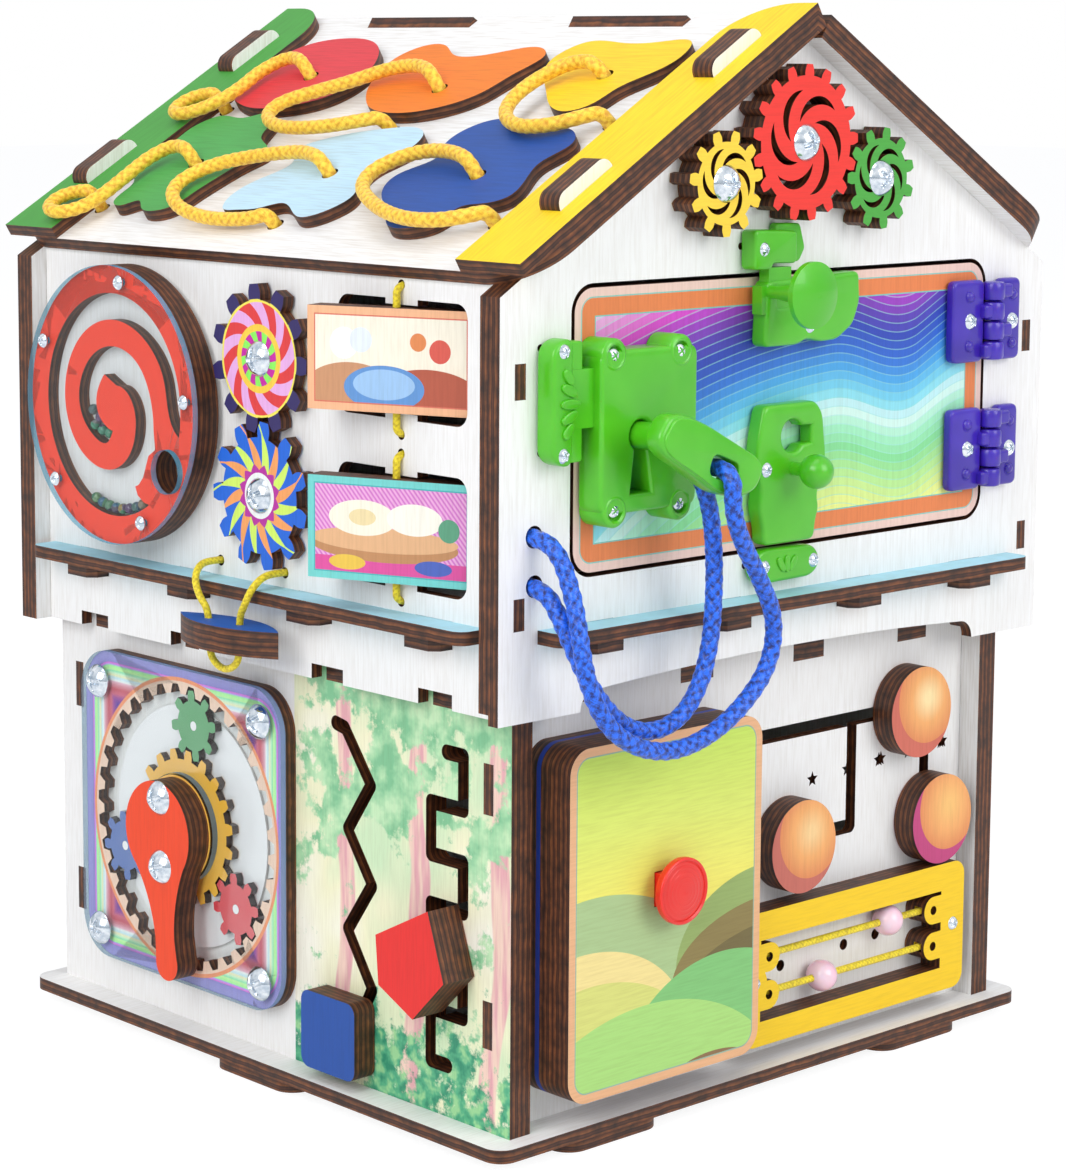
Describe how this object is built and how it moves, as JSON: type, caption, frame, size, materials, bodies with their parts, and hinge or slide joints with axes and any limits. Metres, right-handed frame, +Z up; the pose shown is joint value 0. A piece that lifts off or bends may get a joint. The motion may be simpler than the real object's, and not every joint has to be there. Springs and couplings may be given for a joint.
{
  "type": "busy board house",
  "caption": "Two-storey wooden busy house with a gable door, lock, latches, gears, maze, planet-gear crank, sliders and laced roof.",
  "frame": {"origin": "middle of the base plate on plan, at the underside of the feet", "axes": "+Z up; -Y is the front, the gable with the door; -X is the side with the spiral maze and the planet gears"},
  "size_m": [0.2576, 0.2769, 0.3323],
  "materials": {
    "birch": "satin",
    "blue_paint": "satin",
    "yellow_paint": "satin",
    "mixed_paint": "satin",
    "yellow_cord": "matte",
    "blue_rope": "matte",
    "chrome": "polished",
    "purple_plastic": "satin",
    "green_plastic": "satin",
    "lilac_paint": "satin",
    "acrylic": "gloss",
    "steel": "satin",
    "orange_paint": "satin",
    "red_paint": "satin",
    "green_paint": "satin",
    "glass": "gloss",
    "pink_paint": "satin",
    "royal_paint": "satin",
    "yellow_acrylic": "gloss",
    "green_acrylic": "gloss",
    "blue_acrylic": "gloss",
    "red_acrylic": "gloss",
    "white_acrylic": "gloss",
    "peach_paint": "satin",
    "pearl": "gloss",
    "red_plastic": "satin"
  },
  "bodies": {
    "house": {"feet": "birch", "base_plate": "birch", "lower_wall_left": "birch", "lower_front_panel": "birch", "plain_walls": "birch", "floor_plates": "birch", "gable_front": "birch", "upper_wall_left": "birch", "roof_panels": "birch", "button_box": "birch", "ledges": "blue_paint", "roof_rails": "yellow_paint", "lacing_shapes": "mixed_paint", "lacing_ropes": "yellow_cord", "yellow_cords": "yellow_cord", "blue_rope": "blue_rope", "screws": "chrome", "hinge_leaves_wall": "purple_plastic", "keepers": "green_plastic", "ring_gear_frame": "lilac_paint", "gear_cover": "acrylic", "return_spring": "steel", "abacus_frame": "yellow_paint"},
    "door": {"door_panel": "orange_paint", "hinge_leaves_door": "purple_plastic", "lock_case": "green_plastic", "latch_cases": "green_plastic", "door_screws": "chrome"},
    "door_key": {"key": "green_plastic"},
    "deadbolt": {"lock_bolt": "green_plastic"},
    "upper_latch": {"top_latch_bolt": "green_plastic"},
    "lower_latch": {"bottom_latch_bolt": "green_plastic"},
    "red_gear": {"gear_red": "red_paint"},
    "yellow_gear": {"gear_yellow": "yellow_paint"},
    "green_gear": {"gear_green": "green_paint"},
    "maze": {"maze_disc": "red_paint", "maze_cover": "acrylic", "maze_beads": "glass", "maze_screws": "chrome"},
    "upper_cog": {"cog_upper": "pink_paint"},
    "lower_cog": {"cog_lower": "royal_paint"},
    "upper_picture": {"picture_block_upper": "pink_paint"},
    "lower_picture": {"picture_block_lower": "pink_paint"},
    "swing": {"swing_plate": "royal_paint", "swing_cord": "yellow_cord"},
    "sun": {"sun_gear": "yellow_acrylic", "crank": "red_paint", "crank_screws": "chrome"},
    "carrier": {"planet_carrier": "white_acrylic"},
    "green_planet": {"planet_green": "green_acrylic"},
    "blue_planet": {"planet_blue": "blue_acrylic"},
    "red_planet": {"planet_red": "red_acrylic"},
    "blue_slider": {"slider_blue": "royal_paint"},
    "red_slider": {"slider_red": "red_paint"},
    "disc_1": {"face_disc_1": "peach_paint"},
    "disc_2": {"face_disc_2": "peach_paint"},
    "disc_3": {"face_disc_3": "peach_paint"},
    "upper_bead": {"bead_upper": "pearl"},
    "lower_bead": {"bead_lower": "pearl"},
    "button": {"red_button": "red_plastic"}
  },
  "joints": [
    {"name": "door_swing", "type": "hinge", "parent": "house", "child": "door", "pos_m": [0.09, -0.1199, 0.21165], "axis": [0, 0, 1], "range_deg": [0, 105], "deforming": ["blue_rope"]},
    {"name": "key_turn", "type": "hinge", "parent": "door", "child": "door_key", "pos_m": [-0.0744, -0.127, 0.2106], "axis": [0, 1, 0], "range_deg": [0, 70], "deforming": ["blue_rope"]},
    {"name": "lock_bolt_slide", "type": "slide", "parent": "door", "child": "deadbolt", "axis": [-1, 0, 0], "range_m": [0, 0.008]},
    {"name": "upper_latch_slide", "type": "slide", "parent": "door", "child": "upper_latch", "axis": [0, 0, 1], "range_m": [-0.008, 0.002]},
    {"name": "lower_latch_slide", "type": "slide", "parent": "door", "child": "lower_latch", "axis": [0, 0, -1], "range_m": [-0.006, 0.008]},
    {"name": "red_gear_turn", "type": "hinge", "parent": "house", "child": "red_gear", "pos_m": [-0.0052, -0.1204, 0.2915], "axis": [0, -1, 0], "continuous": true},
    {"name": "yellow_gear_turn", "type": "hinge", "parent": "house", "child": "yellow_gear", "pos_m": [-0.03921, -0.1204, 0.28032], "axis": [0, -1, 0], "continuous": true},
    {"name": "green_gear_turn", "type": "hinge", "parent": "house", "child": "green_gear", "pos_m": [0.02881, -0.1204, 0.28032], "axis": [0, -1, 0], "continuous": true},
    {"name": "maze_turn", "type": "hinge", "parent": "house", "child": "maze", "pos_m": [-0.1204, 0.058, 0.207], "axis": [-1, 0, 0], "continuous": true},
    {"name": "upper_cog_turn", "type": "hinge", "parent": "house", "child": "upper_cog", "pos_m": [-0.117, -0.009, 0.2262], "axis": [-1, 0, 0], "continuous": true},
    {"name": "lower_cog_turn", "type": "hinge", "parent": "house", "child": "lower_cog", "pos_m": [-0.117, -0.009, 0.1848], "axis": [-1, 0, 0], "continuous": true},
    {"name": "upper_picture_turn", "type": "hinge", "parent": "house", "child": "upper_picture", "pos_m": [-0.116, -0.0685, 0.23025], "axis": [0, 0, 1], "continuous": true},
    {"name": "lower_picture_turn", "type": "hinge", "parent": "house", "child": "lower_picture", "pos_m": [-0.116, -0.0685, 0.18105], "axis": [0, 0, 1], "continuous": true},
    {"name": "swing_tilt", "type": "hinge", "parent": "house", "child": "swing", "pos_m": [-0.1252, -0.0026, 0.157], "axis": [0, 1, 0], "range_deg": [0, 60], "deforming": ["swing_cord"]},
    {"name": "crank_turn", "type": "hinge", "parent": "house", "child": "sun", "pos_m": [-0.111, 0.0385, 0.0727], "axis": [-1, 0, 0], "continuous": true},
    {"name": "carrier_turn", "type": "hinge", "parent": "house", "child": "carrier", "pos_m": [-0.1093, 0.0385, 0.0727], "axis": [-1, 0, 0], "continuous": true},
    {"name": "green_planet_turn", "type": "hinge", "parent": "carrier", "child": "green_planet", "pos_m": [-0.111, 0.03318, 0.10628], "axis": [-1, 0, 0], "continuous": true},
    {"name": "red_planet_turn", "type": "hinge", "parent": "carrier", "child": "red_planet", "pos_m": [-0.111, 0.01208, 0.0513], "axis": [-1, 0, 0], "continuous": true},
    {"name": "blue_planet_turn", "type": "hinge", "parent": "carrier", "child": "blue_planet", "pos_m": [-0.111, 0.07024, 0.06051], "axis": [-1, 0, 0], "continuous": true},
    {"name": "blue_slider_slide", "type": "slide", "parent": "house", "child": "blue_slider", "axis": [0, -0.4734, 0.8808], "range_m": [0, 0.016]},
    {"name": "red_slider_slide", "type": "slide", "parent": "house", "child": "red_slider", "axis": [0, 1, 0], "range_m": [-0.0103, 0.0034]},
    {"name": "disc_1_slide", "type": "slide", "parent": "house", "child": "disc_1", "axis": [1, 0, 0], "range_m": [-0.064, 0]},
    {"name": "disc_2_slide", "type": "slide", "parent": "house", "child": "disc_2", "axis": [0, 0, 1], "range_m": [0, 0.009]},
    {"name": "disc_3_slide", "type": "slide", "parent": "house", "child": "disc_3", "axis": [1, 0, 0], "range_m": [-0.003, 0.031]},
    {"name": "upper_bead_slide", "type": "slide", "parent": "house", "child": "upper_bead", "axis": [1, 0, 0], "range_m": [-0.0494, 0.01]},
    {"name": "lower_bead_slide", "type": "slide", "parent": "house", "child": "lower_bead", "axis": [1, 0, 0], "range_m": [-0.0177, 0.0417]},
    {"name": "button_press", "type": "slide", "parent": "house", "child": "button", "axis": [0, 1, 0], "range_m": [0, 0.004], "stiffness_N_per_m": 150, "springref_m": -0.002, "deforming": ["return_spring"]}
  ],
  "couplings": [
    {"joint": "yellow_gear_turn", "follows": "red_gear_turn", "ratio": -1.5455},
    {"joint": "green_gear_turn", "follows": "red_gear_turn", "ratio": -1.5455},
    {"joint": "lower_cog_turn", "follows": "upper_cog_turn", "ratio": -1},
    {"joint": "carrier_turn", "follows": "crank_turn", "ratio": 0.35185},
    {"joint": "key_turn", "follows": "lock_bolt_slide", "rad_per_m": 152.67},
    {"joint": "green_planet_turn", "follows": "crank_turn", "ratio": -1.5394},
    {"joint": "blue_planet_turn", "follows": "crank_turn", "ratio": -1.5394},
    {"joint": "red_planet_turn", "follows": "crank_turn", "ratio": -1.5394}
  ]
}
